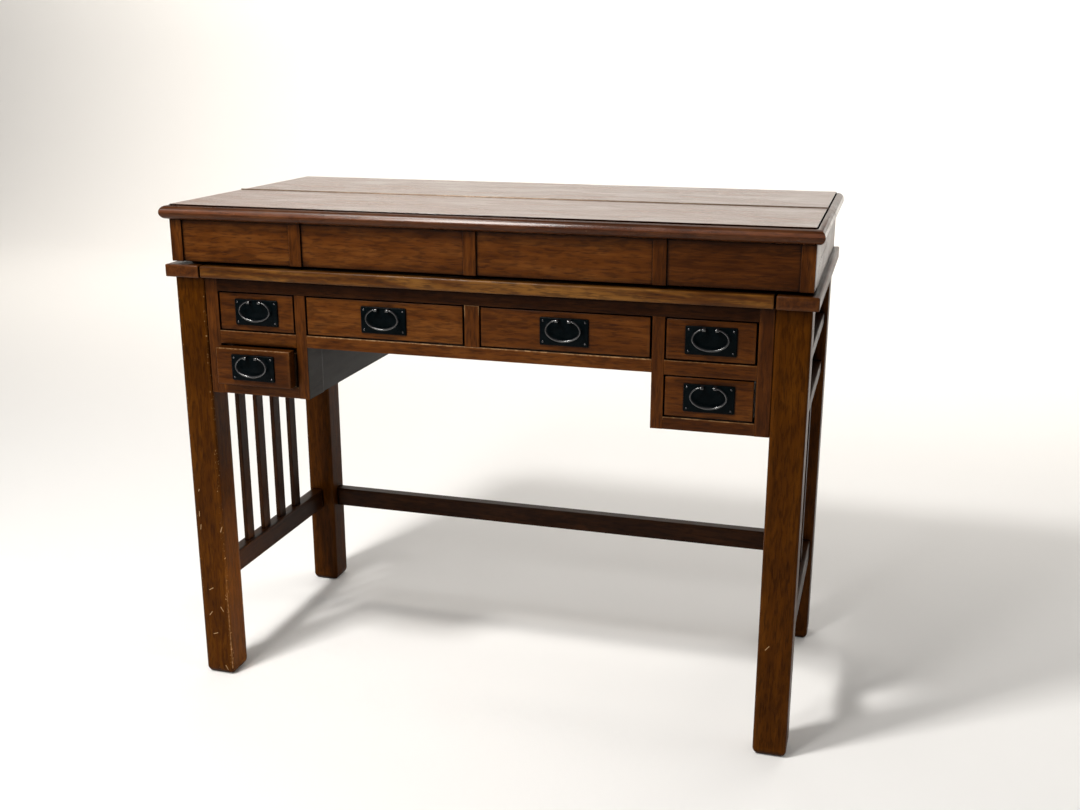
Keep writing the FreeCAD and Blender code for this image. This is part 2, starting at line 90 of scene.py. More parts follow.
paper, paper_tree, paper_shader = new_material("pale_paper")
paper_shader.inputs["Roughness"].default_value = 0.9
paper_shader.inputs["Specular IOR Level"].default_value = 0.1
paper_mottle = node(paper_tree, "TexNoise", {}, {"Scale": 0.6})
paper_ramp = node(paper_tree, "ValToRGB", {}, {"Fac": paper_mottle.outputs["Fac"]})
paper_ramp.color_ramp.elements[0].color = (0.88, 0.88, 0.875, 1)
paper_ramp.color_ramp.elements[1].color = (0.92, 0.92, 0.915, 1)
paper_tree.links.new(paper_ramp.outputs["Color"], paper_shader.inputs["Base Color"])
studio_floor.data.materials.append(paper)

surround = bpy.data.worlds.new("soft_surround")
bpy.context.scene.world = surround
surround.use_nodes = True
sky = surround.node_tree.nodes["Background"].inputs
sky["Color"].default_value = (1.0, 0.985, 0.96, 1)
sky["Strength"].default_value = 0.19


def hang_lamp(name, place, aim, size, watts, colour, fan=180):
    lamp = bpy.data.lights.new(name, "AREA")
    lamp.shape = "RECTANGLE"
    lamp.size, lamp.size_y = size
    lamp.energy = watts
    lamp.color = colour
    lamp.spread = math.radians(fan)
    holder = bpy.data.objects.new(name, lamp)
    bpy.context.scene.collection.objects.link(holder)
    holder.location = place
    holder.rotation_euler = (Vector(aim) - Vector(place)).to_track_quat("-Z", "Y").to_euler()


front_light, soft_light = (1.0, 0.97, 0.93), (1.0, 0.98, 0.95)
low_light, wall_light = (1.0, 0.96, 0.90), (1.0, 0.93, 0.845)
hang_lamp("lamp_left", (-2.3, -1.7, 2.2), (-0.1, 0, 0.5), (1.1, 1.1), 5, front_light)
hang_lamp("lamp_high", (-1.03, -1.45, 2.85), (-0.1, -0.2, 0.65), (0.40, 0.40), 74, front_light)
hang_lamp("lamp_ceiling", (0.2, 1.6, 3.0), (0.2, 0.6, 0.3), (2.5, 1.6), 14, soft_light)
hang_lamp("lamp_window", (-0.78, -2.3, 1.9), (0, 0, 0.6), (0.48, 1.4), 25, front_light)
hang_lamp("lamp_right", (3.2, 0.35, 1.1), (0, 0, 0.5), (1.4, 1.6), 8, soft_light)
hang_lamp("lamp_low", (2.2, -0.75, 0.25), (-0.474, -0.21, 0.16), (0.15, 0.15), 0.4, low_light, fan=10)
hang_lamp("lamp_wall_left", (-2.7, 2.7, 3.6), (-2.3, 5.2, 1.6), (2.8, 0.8), 110, wall_light)
hang_lamp("lamp_wall_right", (2.2, 2.8, 3.6), (1.6, 5.2, 1.3), (2.4, 0.8), 110, wall_light)

eye = bpy.data.cameras.new("eye")
eye.sensor_width = 36.0
eye.lens = 40.66
eye_holder = bpy.data.objects.new("eye", eye)
bpy.context.scene.collection.objects.link(eye_holder)
eye_place = (0.63381, -2.02423, 1.09596)
turn_left, look_down = math.radians(16.234), math.radians(15.936)
eye_holder.matrix_world = (Matrix.Translation(eye_place) @ Matrix.Rotation(turn_left, 4, "Z")
                           @ Matrix.Rotation(math.pi / 2 - look_down, 4, "X"))
bpy.context.scene.camera = eye_holder
bpy.context.scene.view_settings.view_transform = "Standard"

# Legs: four square posts of solid stained wood, edges rounded over and feet drawn in. The front left
# one is knocked and scratched down to the pale wood at its lower end.
mm = 0.001
smooth_below = math.radians(35)


def start_board(name, low, high):
    low, high = Vector(low), Vector(high)
    bpy.ops.object.select_all(action="DESELECT")
    bpy.ops.mesh.primitive_cube_add(size=1, location=(low + high) / 2)
    board = bpy.context.object
    board.name = name
    board.scale = high - low
    bpy.ops.object.transform_apply(location=True, rotation=True, scale=True)
    return board


def bevel_edges(board, wanted, offset, segments):
    pick_edges(board, wanted)
    bpy.ops.mesh.bevel(offset=offset, segments=segments, affect="EDGES", clamp_overlap=True)
    bpy.ops.object.mode_set(mode="OBJECT")


def any_edge(a, b):
    return True


def pick_faces(piece, wanted):
    """Selects the faces that are wanted, and leaves the piece in edit mode."""
    bpy.context.tool_settings.mesh_select_mode = (False, False, True)
    bpy.ops.object.mode_set(mode="EDIT")
    bpy.ops.mesh.select_all(action="DESELECT")
    bpy.ops.object.mode_set(mode="OBJECT")
    for face in piece.data.polygons:
        face.select = wanted(face)
    bpy.ops.object.mode_set(mode="EDIT")


def write_marks(board, tone, **marks):
    """Writes the tone the board was cut with and the other marks that its finish reads."""
    drawn = random.Random(board.name).random() if tone is None else tone
    marks["cut"] = tone if callable(tone) else lambda i, place: drawn
    for label, value_at in marks.items():
        values = board.data.attributes.new(label, "FLOAT", "POINT")
        for i, point in enumerate(board.data.vertices):
            values.data[i].value = value_at(i, point.co)
    for label, way in (("faces_front", 1), ("faces_top", 2)):
        values = board.data.attributes.new(label, "FLOAT", "FACE")
        for i, face in enumerate(board.data.polygons):
            values.data[i].value = float(abs(face.normal[way]) > 0.7)
    bpy.ops.object.shade_smooth_by_angle(angle=smooth_below)


def mark_wear(board, margin, tone=None, **marks):
    """Insets each flat face and marks which points lie at an edge, for the rubbed finish."""
    pick_faces(board, lambda face: max(abs(c) for c in face.normal) > 0.9999)
    bpy.ops.mesh.inset(thickness=margin, depth=0, use_individual=True)
    bpy.ops.object.mode_set(mode="OBJECT")
    inner = {i for face in board.data.polygons if face.select for i in face.vertices}
    write_marks(board, tone, edge=lambda i, place: 0.0 if i in inner else 1.0, **marks)


def eased_board(name, low, high, ease, segments=3, tone=None, **marks):
    board = start_board(name, low, high)
    bevel_edges(board, any_edge, ease, segments)
    rubbed_margin = min(4 * mm, 0.2 * min(board.dimensions))
    mark_wear(board, rubbed_margin, tone, **marks)
    return board


def calc(tree, operation, first, second=0.0):
    return node(tree, "Math", {"operation": operation}, {0: first, 1: second}).outputs[0]


def stretch(tree, value, low, high, to_low=0.0, to_high=1.0):
    return node(tree, "MapRange", {}, {"Value": value, "From Min": low, "From Max": high,
                                       "To Min": to_low, "To Max": to_high}).outputs[0]


def blend(tree, factor, first, second):
    return node(tree, "Mix", {"data_type": "RGBA"}, {0: factor, 6: first, 7: second}).outputs[2]


def vectors(tree, operation, first, second):
    return node(tree, "VectorMath", {"operation": operation}, {0: first, 1: second}).outputs[0]


def noise(tree, vector, scale, detail, distortion=0.0):
    return node(tree, "TexNoise", {}, {"Vector": vector, "Scale": scale, "Detail": detail,
                                       "Distortion": distortion}).outputs[0]


def mark(tree, label):
    return node(tree, "Attribute", {"attribute_name": label}, {}).outputs["Fac"]


def new_group(name, inputs, outputs):
    tree = bpy.data.node_groups.new(name, "ShaderNodeTree")
    for label, kind in inputs.items():
        tree.interface.new_socket(name=label, in_out="INPUT", socket_type="NodeSocket" + kind)
    for label in outputs:
        tree.interface.new_socket(name=label, in_out="OUTPUT", socket_type="NodeSocketFloat")
    return tree, tree.nodes.new("NodeGroupInput").outputs, tree.nodes.new("NodeGroupOutput").inputs


def placed(tree, group, inputs):
    return node(tree, "Group", {"node_tree": group}, inputs).outputs


def make_grain():
    """Fine streaks, pores, clouds, flecks and rings, drawn out along the first axis."""
    tree, given, result = new_group("wood_grain", {"Along": "Vector"},
                                    ("Streak", "Figure", "Pores", "Cloud", "Flecks"))
    for label, drawn_out, detail, wander, low, high in (
            ("Streak", (3.4, 150, 150), 4, 0.2, 0.30, 0.70),
            ("Pores", (38, 620, 620), 2, 0.0, 0.57, 0.68),
            ("Cloud", (9, 24, 24), 4, 0.6, 0.28, 0.72),
            ("Flecks", (42, 210, 210), 3, 0.4, 0.47, 0.64)):
        spots = noise(tree, vectors(tree, "MULTIPLY", given["Along"], drawn_out), 1, detail, wander)
        tree.links.new(stretch(tree, spots, low, high), result[label])
    rings = node(tree, "TexWave", {"wave_type": "BANDS", "bands_direction": "DIAGONAL"},
                 {"Vector": vectors(tree, "MULTIPLY", given["Along"], (0.10, 1, 1)), "Scale": 30,
                  "Distortion": 9, "Detail": 3, "Detail Scale": 1.1, "Detail Roughness": 0.6})
    tree.links.new(rings.outputs["Fac"], result["Figure"])
    return tree


def make_rubbed_edge():
    """Chips right at the edges, and broad patches where the stain is rubbed thin."""
    tree, given, result = new_group("rubbed_edge", {"Place": "Vector", "Edge": "Float", "Amount": "Float"},
                                    ("Chips", "Rub"))
    grit = noise(tree, given["Place"], 240, 4)
    reach = calc(tree, "MULTIPLY", given["Edge"], given["Amount"])
    tree.links.new(stretch(tree, calc(tree, "ADD", grit, reach), 0.98, 1.06), result["Chips"])
    patches = stretch(tree, noise(tree, given["Place"], 14, 3), 0.35, 0.65)
    tree.links.new(calc(tree, "MULTIPLY", given["Edge"], patches), result["Rub"])
    return tree


def make_nicks():
    """Short straight scratches, one in some of the cells of a plane, each turned its own way."""
    cells_per_metre, half_thin = 26, 0.6 * mm
    tree, given, result = new_group("nicks", {"Plane": "Vector", "Share": "Float", "Long": "Float"},
                                    ("Mask",))
    cells = node(tree, "TexVoronoi", {"voronoi_dimensions": "2D"},
                 {"Vector": given["Plane"], "Scale": cells_per_metre})
    away = vectors(tree, "SUBTRACT", given["Plane"], cells.outputs["Position"])
    draw = node(tree, "SeparateColor", {}, {0: cells.outputs["Color"]}).outputs
    angle = calc(tree, "MULTIPLY", draw[0], math.pi)
    turned = node(tree, "VectorRotate", {"rotation_type": "Z_AXIS"}, {"Vector": away, "Angle": angle})
    parts = node(tree, "SeparateXYZ", {}, {0: turned.outputs[0]}).outputs
    along = calc(tree, "LESS_THAN", calc(tree, "ABSOLUTE", parts[0]), given["Long"])
    thin = calc(tree, "LESS_THAN", calc(tree, "ABSOLUTE", parts[1]), half_thin)
    picked = calc(tree, "LESS_THAN", draw[1], given["Share"])
    tree.links.new(calc(tree, "MULTIPLY", calc(tree, "MULTIPLY", along, thin), picked), result["Mask"])
    return tree


def make_glaze_and_painted_shade():
    """Corners darkened by ambient occlusion: partly dark glazing, partly painted shade, and a softer painted
    shade that reaches further out.
    """
    samples, wider = 8, 3.5
    tree, given, result = new_group("crevice", {"Reach": "Float"}, ("Dark", "Shade"))
    near = node(tree, "AmbientOcclusion", {"samples": samples}, {"Distance": given["Reach"]})
    tree.links.new(stretch(tree, near.outputs["AO"], 0.50, 0.88, 1.0, 0.0), result["Dark"])
    wide_reach = calc(tree, "MULTIPLY", given["Reach"], wider)
    wide = node(tree, "AmbientOcclusion", {"samples": samples}, {"Distance": wide_reach})
    tree.links.new(stretch(tree, wide.outputs["AO"], 0.45, 0.95, 0.6, 0.0), result["Shade"])
    return tree


grain_group, edge_group = make_grain(), make_rubbed_edge()
nick_group, glaze_and_painted_shade_group = make_nicks(), make_glaze_and_painted_shade()
grain_turn = {"X": (0, 0, 0), "Y": (0, 0, -math.pi / 2), "Z": (0, math.pi / 2, 0)}
plane_turn = {"front": (-math.pi / 2, 0, 0), "top": (0, 0, 0)}


def stained_wood(name, along, tones, rough, specular=0.09, figure=0.14, chips=0.22, nicks=0.0,
                 plane="front", nicked_below=2.0, bump=0.2, glaze_and_shade_reach=0.010):
    """Stain over grain that runs along one axis, with worn edges, scratches, pale arrises that are partly
    wear and partly painted highlight, and corners darkened partly as glazing and partly as painted shade.
    """
    dark, middle, light = [(*tone, 1) for tone in tones]
    pore_colour = (*[0.35 * c for c in dark[:3]], 1)
    chip_colour, nick_colour = (0.30, 0.17, 0.075, 1), (0.42, 0.27, 0.14, 1)
    bare_and_highlight_colour = (0.33, 0.19, 0.085, 1)
    shade_colour, glaze_and_shade_colour = (0.006, 0.0015, 0.0005, 1), (0.004, 0.0012, 0.0006, 1)
    streak_share, cloud_share, cut_share, cut_zero = 0.34, 0.56, 0.26, 0.20
    nick_half_long, pore_deep = 5 * mm, 0.4 * mm
    material, tree, shader = new_material(name)
    place = node(tree, "TexCoord", {}, {}).outputs["Object"]
    cut = mark(tree, "cut")

    turned = node(tree, "Mapping", {}, {"Vector": place, "Rotation": grain_turn[along]}).outputs[0]
    shift = node(tree, "CombineXYZ", {}, {0: cut, 1: cut, 2: cut}).outputs[0]
    shifted = vectors(tree, "ADD", turned, vectors(tree, "MULTIPLY", shift, (9.1, 5.3, 7.7)))
    grain = placed(tree, grain_group, {"Along": shifted})
    tone = calc(tree, "ADD", calc(tree, "MULTIPLY", grain["Streak"], streak_share),
                calc(tree, "MULTIPLY", grain["Figure"], figure))
    tone = calc(tree, "ADD", tone, calc(tree, "MULTIPLY", grain["Cloud"], cloud_share))
    tone = calc(tree, "ADD", tone, calc(tree, "SUBTRACT", calc(tree, "MULTIPLY", cut, cut_share), cut_zero))
    ramp = node(tree, "ValToRGB", {}, {"Fac": tone})
    stops = ramp.color_ramp.elements
    stops[0].position, stops[0].color = 0.12, dark
    stops[1].position, stops[1].color = 0.92, light
    stops.new(0.5).color = middle
    colour = blend(tree, calc(tree, "MULTIPLY", grain["Flecks"], 0.5), ramp.outputs[0], pore_colour)
    colour = blend(tree, calc(tree, "MULTIPLY", grain["Pores"], 0.6), colour, pore_colour)

    worn = placed(tree, edge_group, {"Place": shifted, "Edge": mark(tree, "edge"), "Amount": chips})
    colour = blend(tree, calc(tree, "MULTIPLY", worn["Rub"], 0.30), colour, light)
    colour = blend(tree, worn["Chips"], colour, chip_colour)
    if nicks:
        flat = node(tree, "Mapping", {}, {"Vector": place, "Rotation": plane_turn[plane]}).outputs[0]
        scratches = placed(tree, nick_group, {"Plane": flat, "Share": nicks, "Long": nick_half_long})
        height = node(tree, "SeparateXYZ", {}, {0: place}).outputs["Z"]
        struck = calc(tree, "MULTIPLY", scratches["Mask"], calc(tree, "LESS_THAN", height, nicked_below))
        struck = calc(tree, "MULTIPLY", struck, mark(tree, "faces_" + plane))
        colour = blend(tree, calc(tree, "MULTIPLY", struck, 0.8), colour, nick_colour)
    # Pale speckled arrises: real wear on the knocked leg; on the rails and centre stile partly wear and
    # partly painted highlight; on the lower left drawer a painted highlight.
    specks = stretch(tree, noise(tree, place, 190, 3), 0.44, 0.62, 0.25, 0.95)
    bared = calc(tree, "MULTIPLY", stretch(tree, mark(tree, "bare"), 0.65, 1.0), specks)
    colour = blend(tree, bared, colour, bare_and_highlight_colour)

    # Ambient occlusion darkens corners and creases, partly as dark glazing and partly as painted shade; the
    # wider reach lays a softer painted shade further out, and the quirk marks add painted shade in the top's
    # groove.
    glaze_and_shade = placed(tree, glaze_and_painted_shade_group, {"Reach": glaze_and_shade_reach})
    colour = blend(tree, glaze_and_shade["Shade"], colour, shade_colour)
    glaze_and_shade_mask = calc(tree, "MAXIMUM", glaze_and_shade["Dark"], mark(tree, "deep"))
    colour = blend(tree, calc(tree, "MULTIPLY", glaze_and_shade_mask, 0.93), colour, glaze_and_shade_colour)
    tree.links.new(colour, shader.inputs["Base Color"])
    matt = calc(tree, "ADD", stretch(tree, grain["Cloud"], 0, 1, rough - 0.04, rough + 0.06),
                calc(tree, "MULTIPLY", worn["Chips"], 0.25))
    tree.links.new(matt, shader.inputs["Roughness"])
    raised = calc(tree, "SUBTRACT", calc(tree, "MULTIPLY", grain["Streak"], 0.4), grain["Pores"])
    relief = node(tree, "Bump", {}, {"Strength": bump, "Distance": pore_deep, "Height": raised})
    tree.links.new(relief.outputs[0], shader.inputs["Normal"])
    shader.inputs["Specular IOR Level"].default_value = specular
    return material


def settle(piece, material, body, slot, *nodes):
    """Gives a finished piece its material and body, and puts it in place of its CAD nodes; the slot is not
    used.
    """
    if material:
        piece.data.materials.clear()
        piece.data.materials.append(material)
    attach(piece, body)
    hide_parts(*nodes)


leg_tones = (0.036, 0.0098, 0.0003), (0.059, 0.0165, 0.0005), (0.087, 0.0268, 0.0015)
leg_wood = stained_wood("leg_wood", "Z", leg_tones, 0.32, specular=0.035, figure=0.08, chips=0.24,
                        nicks=0.03, glaze_and_shade_reach=0.004)
knocked_wood = stained_wood("knocked_leg_wood", "Z", leg_tones, 0.32, specular=0.035, figure=0.08, chips=0.36,
                            nicks=0.5, nicked_below=0.36, glaze_and_shade_reach=0.004)
post_round, post_round_steps, post_rubbed = 5 * mm, 5, 5 * mm
foot_high, foot_in, foot_steps = 13 * mm, 9 * mm, 7
bared_in, bared_to, bared = 2.2 * mm, 430 * mm, 0.9
front_leg_tone, back_leg_tone = 0.75, -0.2


def is_sole(face):
    return face.normal.z < -0.999


def round_foot(post):
    """Draws the post's lower end in to a rounded foot, one step of a quarter round at a time."""
    middle = next(face.center.copy() for face in post.data.polygons if is_sole(face))
    pick_faces(post, is_sole)
    half, sunk, drawn = post.dimensions.x / 2, 0.0, 0.0
    for step in range(1, foot_steps + 1):
        turn = step * math.pi / 2 / foot_steps
        deeper, further = foot_high * math.sin(turn), foot_in * (1 - math.cos(turn))
        shrink = (half - further) / (half - drawn)
        bpy.ops.mesh.extrude_region_move(TRANSFORM_OT_translate={"value": (0, 0, sunk - deeper)})
        bpy.ops.transform.resize(value=(shrink, shrink, 1), center_override=middle)
        sunk, drawn = deeper, further
    bpy.ops.object.mode_set(mode="OBJECT")


for leg in ("front_left", "front_right", "back_left", "back_right"):
    low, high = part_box("leg_" + leg)
    knocked = leg == "front_left"
    post = start_board("post_" + leg, (low.x, low.y, foot_high), high)
    bevel_edges(post, lambda a, b: abs(a.z - b.z) > 100 * mm, post_round, post_round_steps)
    round_foot(post)

    def on_front_arris(i, place):
        at_arris = high.x - place.x < bared_in and place.y - low.y < bared_in
        return bared * (knocked and at_arris and place.z < bared_to)

    leg_tone = front_leg_tone if leg.startswith("front") else back_leg_tone
    mark_wear(post, post_rubbed, leg_tone, bare=on_front_arris)
    settle(post, knocked_wood if knocked else leg_wood, "frame", "wood_legs", "leg_" + leg)


# Side frames: in each side a low stretcher and two thin rails are tenoned into the legs, with four
# upright slats between them. Solid wood, hardly worn, in tones darker than the legs: partly stain and partly
# painted shade for the shadow under the desk.
def mirrored_pair(x, y, z):
    """The corners of a board between two places on each axis, and of its mirror image at the left."""
    return [((x[0], y[0], z[0]), (x[1], y[1], z[1])), ((-x[1], y[0], z[0]), (-x[0], y[1], z[1]))]


def select_only(*pieces):
    bpy.ops.object.select_all(action="DESELECT")
    for piece in pieces:
        piece.select_set(True)
    bpy.context.view_layer.objects.active = pieces[0]


def joined(name, boards):
    select_only(*boards)
    bpy.ops.object.join()
    boards[0].name = name
    return boards[0]


def board_set(name, boxes, ease, tones=None):
    boards = [eased_board(name + "_%d" % i, low, high, ease, tone=tones[i] if tones else None)
              for i, (low, high) in enumerate(boxes)]
    return joined(name, boards)


leg_side = 54 * mm
side_y = (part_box("leg_front_left")[0].y + leg_side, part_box("leg_back_left")[1].y - leg_side)
rail_x, low_rail_z = (498 * mm, 522 * mm), (168 * mm, 208 * mm)
thin_rail_lows, thin_rail_high = (541 * mm, 631 * mm), 20 * mm
painted_shade_tones = (0.014, 0.0038, 0.0006), (0.024, 0.0072, 0.0011), (0.040, 0.0130, 0.0026)
side_wood = stained_wood("side_wood", "Y", painted_shade_tones, 0.36, specular=0.07, glaze_and_shade_reach=0.004)
low_rails = board_set("low_side_rails", mirrored_pair(rail_x, side_y, low_rail_z), 1.5 * mm)
settle(low_rails, side_wood, "frame", "wood_legs", "side_stretchers")
thin_rails = []
for rail_low in thin_rail_lows:
    thin_rails += mirrored_pair(rail_x, side_y, (rail_low, rail_low + thin_rail_high))
settle(board_set("thin_side_rails", thin_rails, 1.2 * mm), side_wood, "frame", "wood_legs", "side_rails")

slat_count, slat_wide, slat_step = 4, 25 * mm, 63.5 * mm
slat_x, slat_z = (506 * mm, 514 * mm), (202 * mm, 547 * mm)
slat_start = (side_y[0] + side_y[1] - slat_wide - (slat_count - 1) * slat_step) / 2
slats = []
for i in range(slat_count):
    slat_y = slat_start + i * slat_step
    slats += mirrored_pair(slat_x, (slat_y, slat_y + slat_wide), slat_z)
slat_wood = stained_wood("slat_wood", "Z", painted_shade_tones, 0.38, specular=0.07, chips=0.20, glaze_and_shade_reach=0.004)
settle(board_set("upright_slats", slats, 1.0 * mm), slat_wood, "frame", "wood_legs", "side_slats")

low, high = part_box("rear_stretcher")
rear_rail_half = 474 * mm
rear_wood = stained_wood("rear_stretcher_wood", "X", painted_shade_tones, 0.36, specular=0.07, glaze_and_shade_reach=0.004)
rear_rail = eased_board("low_rear_rail", (-rear_rail_half, low.y, low.z), (rear_rail_half, high.y, high.z),
                        1.5 * mm)
settle(rear_rail, rear_wood, "frame", "wood_legs", "rear_stretcher")


# Drawer case: thin side panels, the board across the back and the runners, all of plain wood under a
# thin stain, and the inner side of each drawer stack, painted dark grey as shade with a dull grey reflection.
# They are the solids as they stand.
def dress(material, *nodes):
    for name in nodes:
        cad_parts[name].data.materials.clear()
        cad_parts[name].data.materials.append(material)


case_tones = (0.030, 0.011, 0.004), (0.058, 0.023, 0.008), (0.092, 0.040, 0.016)
case_wood = stained_wood("case_wood", "Y", case_tones, 0.5, specular=0.12)
dress(case_wood, "side_panels", "drawer_runners")
back_wood = stained_wood("back_board_wood", "X", leg_tones, 0.42)
dress(back_wood, "back_panel")
painted_shade_stack_tones = (0.0062, 0.0037, 0.0023), (0.0108, 0.0068, 0.0044), (0.0170, 0.0112, 0.0076)
painted_shade_stack_wood = stained_wood("stack_side_wood", "Y", painted_shade_stack_tones, 0.46, specular=0.16)
dress(painted_shade_stack_wood, "pedestal_panels")

# Front frame: rails and stiles glued up flush round the drawers, between the front legs. The same
# stained wood as the drawers, except the long rail under the work surface, coloured much darker as a painted
# shadow of the work surface above it.
front_tones = (0.042, 0.0106, 0.0006), (0.082, 0.0228, 0.0020), (0.130, 0.0420, 0.0058)
painted_shadow_tones = (0.016, 0.0038, 0.0003), (0.030, 0.0080, 0.0008), (0.050, 0.0155, 0.0024)
rail_wood = stained_wood("rail_wood", "X", front_tones, 0.36, chips=0.24)
painted_shadow_rail_wood = stained_wood("under_rail_wood", "X", painted_shadow_tones, 0.4, specular=0.06)
stile_wood = stained_wood("stile_wood", "Z", front_tones, 0.36, chips=0.24)


def frame_board(name, low, high, tone, top_wear_and_highlight):
    """A rail or stile: the long edges are softened, the ends are left square where they meet the next."""
    ease, bare_in, rubbed_margin = 1.0 * mm, 1.1 * mm, 3 * mm
    board = start_board(name, low, high)
    way = max(range(3), key=lambda i: board.dimensions[i])
    half_long = 0.5 * (high[way] - low[way])
    bevel_edges(board, lambda a, b: abs(a[way] - b[way]) > half_long, ease, 3)
    # The pale line along the top front arris is partly wear and partly painted highlight.
    top, face = high[2] - bare_in, low[1] + bare_in
    mark_wear(board, rubbed_margin, tone, bare=lambda i, place: top_wear_and_highlight * (place.z > top and place.y < face))
    return board


for name, cad, wood, tone, top_wear_and_highlight in (
        ("top_rail", "face_top_rail", painted_shadow_rail_wood, 0.5, 0.0),
        ("centre_rail", "face_centre_rail", rail_wood, 1.1, 1.0),
        ("centre_stile", "face_centre_stile", stile_wood, 0.3, 1.0)):
    settle(frame_board(name, *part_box(cad), tone, top_wear_and_highlight), wood, "frame", "wood_front", cad)
# The first tone of each pair goes to the right-hand board: the very dark tone, meant as the painted shadow
# that the lower left drawer casts on the rail below it, lands on the right bottom rail.
for name, cad, inner, wood, tones, top_wear_and_highlight in (
        ("outer_stiles", "face_outer_stiles", 451 * mm, stile_wood, (-0.5, 0.4), 0.0),
        ("stack_stiles", "face_pedestal_stiles", 290.5 * mm, stile_wood, (0.3, 0.45), 0.0),
        ("middle_rails", "face_mid_rails", 310 * mm, rail_wood, (0.2, 0.45), 0.8),
        ("bottom_rails", "face_bottom_rails", 310 * mm, rail_wood, (-0.8, 0.45), 0.9)):
    low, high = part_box(cad)
    boxes = mirrored_pair((inner, high.x), (low.y, high.y), (low.z, high.z))
    boards = [frame_board(name + "_%d" % i, *box, tones[i], top_wear_and_highlight) for i, box in enumerate(boxes)]
    pair = joined(name, boards)
    settle(pair, wood, "frame", "wood_front", cad)
    if name == "stack_stiles":
        # The stack stiles' inward faces take the same dark grey, painted shade and grey reflection.
        pair.data.materials.append(painted_shade_stack_wood)
        for face in pair.data.polygons:
            looks_inward = face.normal.x * face.center.x < -0.9 * abs(face.center.x)
            face.material_index = int(looks_inward)


# Work surface: two grooved end boards, a fixed strip at the back and a veneered panel that slides
# forward on tongues. The panel's front edge is a solid lipping with bold golden grain.
def cut_away(board, cutter, label):
    select_only(board)
    cut = board.modifiers.new(label, "BOOLEAN")
    cut.object = cutter
    bpy.ops.object.modifier_apply(modifier=label)
    bpy.data.objects.remove(cutter)


top_tones = (0.078, 0.0230, 0.0066), (0.126, 0.0420, 0.0135), (0.180, 0.067, 0.024)
panel_wood = stained_wood("panel_wood", "X", top_tones, 0.34, specular=0.3)
dress(panel_wood, "slide_panel", "rear_deck")
end_wood = stained_wood("end_board_wood", "Y", front_tones, 0.34, specular=0.16, chips=0.25)
surface_ease, surface_ease_steps = 2.5 * mm, 4
groove_mouth, groove_floor = 470 * mm, 481.9 * mm
groove_y, groove_z = (-198.1 * mm, 230.9 * mm), (747.8 * mm, 755.6 * mm)
for side, sign, tone in (("left", -1, 0.2), ("right", 1, -0.2)):
    end_board = eased_board("end_board_" + side, *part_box("end_piece_" + side), surface_ease,
                            surface_ease_steps, tone)
    groove_x = sorted((sign * groove_mouth, sign * groove_floor))
    cutter = start_board("groove_cutter", (groove_x[0], groove_y[0], groove_z[0]),
                         (groove_x[1], groove_y[1], groove_z[1]))
    cut_away(end_board, cutter, "groove")
    settle(end_board, end_wood, "frame", "wood_top", "end_piece_" + side)
lipping_tones = (0.034, 0.0088, 0.0007), (0.080, 0.0258, 0.0026), (0.162, 0.066, 0.0105)
lipping_wood = stained_wood("lipping_wood", "X", lipping_tones, 0.32, specular=0.16, figure=0.34,
                            chips=0.26)
lipping = eased_board("surface_lipping", *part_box("slide_lipping"), surface_ease, surface_ease_steps, 0.7)
settle(lipping, lipping_wood, "work_surface", "wood_lipping", "slide_lipping")

# Upper box: low sides cut to a curve at the front and a back board stand on the work surface. The
# lid's own sides, its front board and five proud battens hang from the front half of the top.
box_side_wood = stained_wood("box_side_wood", "Y", front_tones, 0.30, specular=0.4)
dress(box_side_wood, "upper_side_left", "upper_side_right", "lid_sides")
dress(rail_wood, "upper_back")
# The front board's corner darkening reaches further, as painted shade under the nose and beside the battens.
apron_wood = stained_wood("apron_wood", "X", front_tones, 0.36, glaze_and_shade_reach=0.014)
low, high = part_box("lid_battens")
batten_half, batten_pitch = 10.5 * mm, 300 * mm
batten_centres = [low.x + batten_half, -batten_pitch, 0, batten_pitch, high.x - batten_half]
battens = [((x - batten_half, low.y, low.z), (x + batten_half, high.y, high.z)) for x in batten_centres]
batten_tones = (0.5, 0.3, 0.2, -0.2, -0.2)
front_battens = board_set("front_battens", battens, 0.8 * mm, batten_tones)
settle(front_battens, stile_wood, "lid", "wood_front", "lid_battens")
veneer_tones, veneer_joints = (0.70, 0.60, 0.95, -0.10), batten_centres[1:4]
joint_half = 8 * mm


def veneer_tone(i, place):
    """The front board shows four leaves of veneer, each from its own cut, joined behind the battens."""
    return veneer_tones[sum(place.x > joint for joint in veneer_joints)]


front_board = start_board("lid_front_board", *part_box("lid_apron"))
bevel_edges(front_board, any_edge, 0.8 * mm, 3)
bpy.ops.object.mode_set(mode="EDIT")
for joint in veneer_joints:
    for cut_x in (joint - joint_half, joint + joint_half):
        bpy.ops.mesh.select_all(action="SELECT")
        bpy.ops.mesh.bisect(plane_co=(cut_x, 0, 0), plane_no=(1, 0, 0))
bpy.ops.object.mode_set(mode="OBJECT")
mark_wear(front_board, 3.2 * mm, veneer_tone)
settle(front_board, apron_wood, "lid", "wood_front", "lid_apron")

